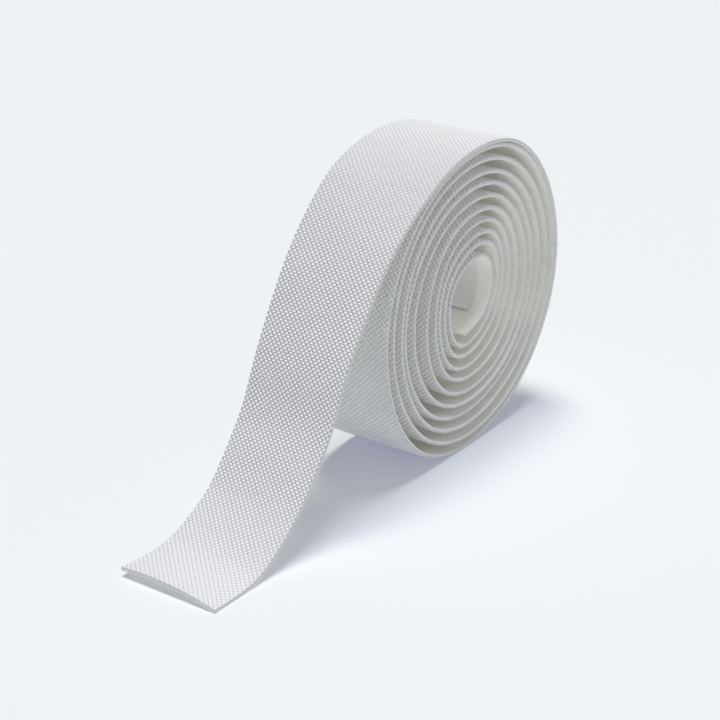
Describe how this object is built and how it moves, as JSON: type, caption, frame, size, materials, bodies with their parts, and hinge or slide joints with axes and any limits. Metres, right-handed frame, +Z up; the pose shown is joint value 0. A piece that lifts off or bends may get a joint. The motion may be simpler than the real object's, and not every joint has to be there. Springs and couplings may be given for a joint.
{
  "type": "grip tape roll",
  "caption": "Roll of embossed racket grip tape standing on edge, a loose flat spiral with an open centre and a free tail that lifts off the ground.",
  "frame": {"origin": "on the ground under the middle of the whole object", "axes": "+Z up, +Y along the roll's axis away from the viewer's side, -X towards the free end of the tape"},
  "size_m": [0.1306, 0.025, 0.0734],
  "materials": {
    "skin": "matte embossed polyurethane, white",
    "carrier": "smooth non-woven, off-white",
    "adhesive": "clear tacky acrylic film",
    "liner": "siliconised release film, satin"
  },
  "bodies": {
    "coil": {"outer_turn_skin": "skin", "wound_skin": "skin", "outer_turn_carrier": "carrier", "turns_2_3_carrier": "carrier", "turns_4_5_carrier": "carrier", "turns_6_7_carrier": "carrier", "turns_8_11_carrier": "carrier", "starter_adhesive": "adhesive", "release_liner": "liner"},
    "tail": {"tail_skin": "skin", "tail_carrier": "carrier"},
    "tip": {"tip_skin": "skin", "tip_carrier": "carrier"}
  },
  "joints": [
    {"name": "tail_lift", "type": "hinge", "parent": "coil", "child": "tail", "pos_m": [0.02118, 0, 0.07247], "axis": [0, 1, 0], "range_deg": [0, 70]},
    {"name": "tip_lift", "type": "hinge", "parent": "tail", "child": "tip", "pos_m": [-0.04822, 0, 0.00264], "axis": [0, 1, 0], "range_deg": [0, 60]}
  ]
}
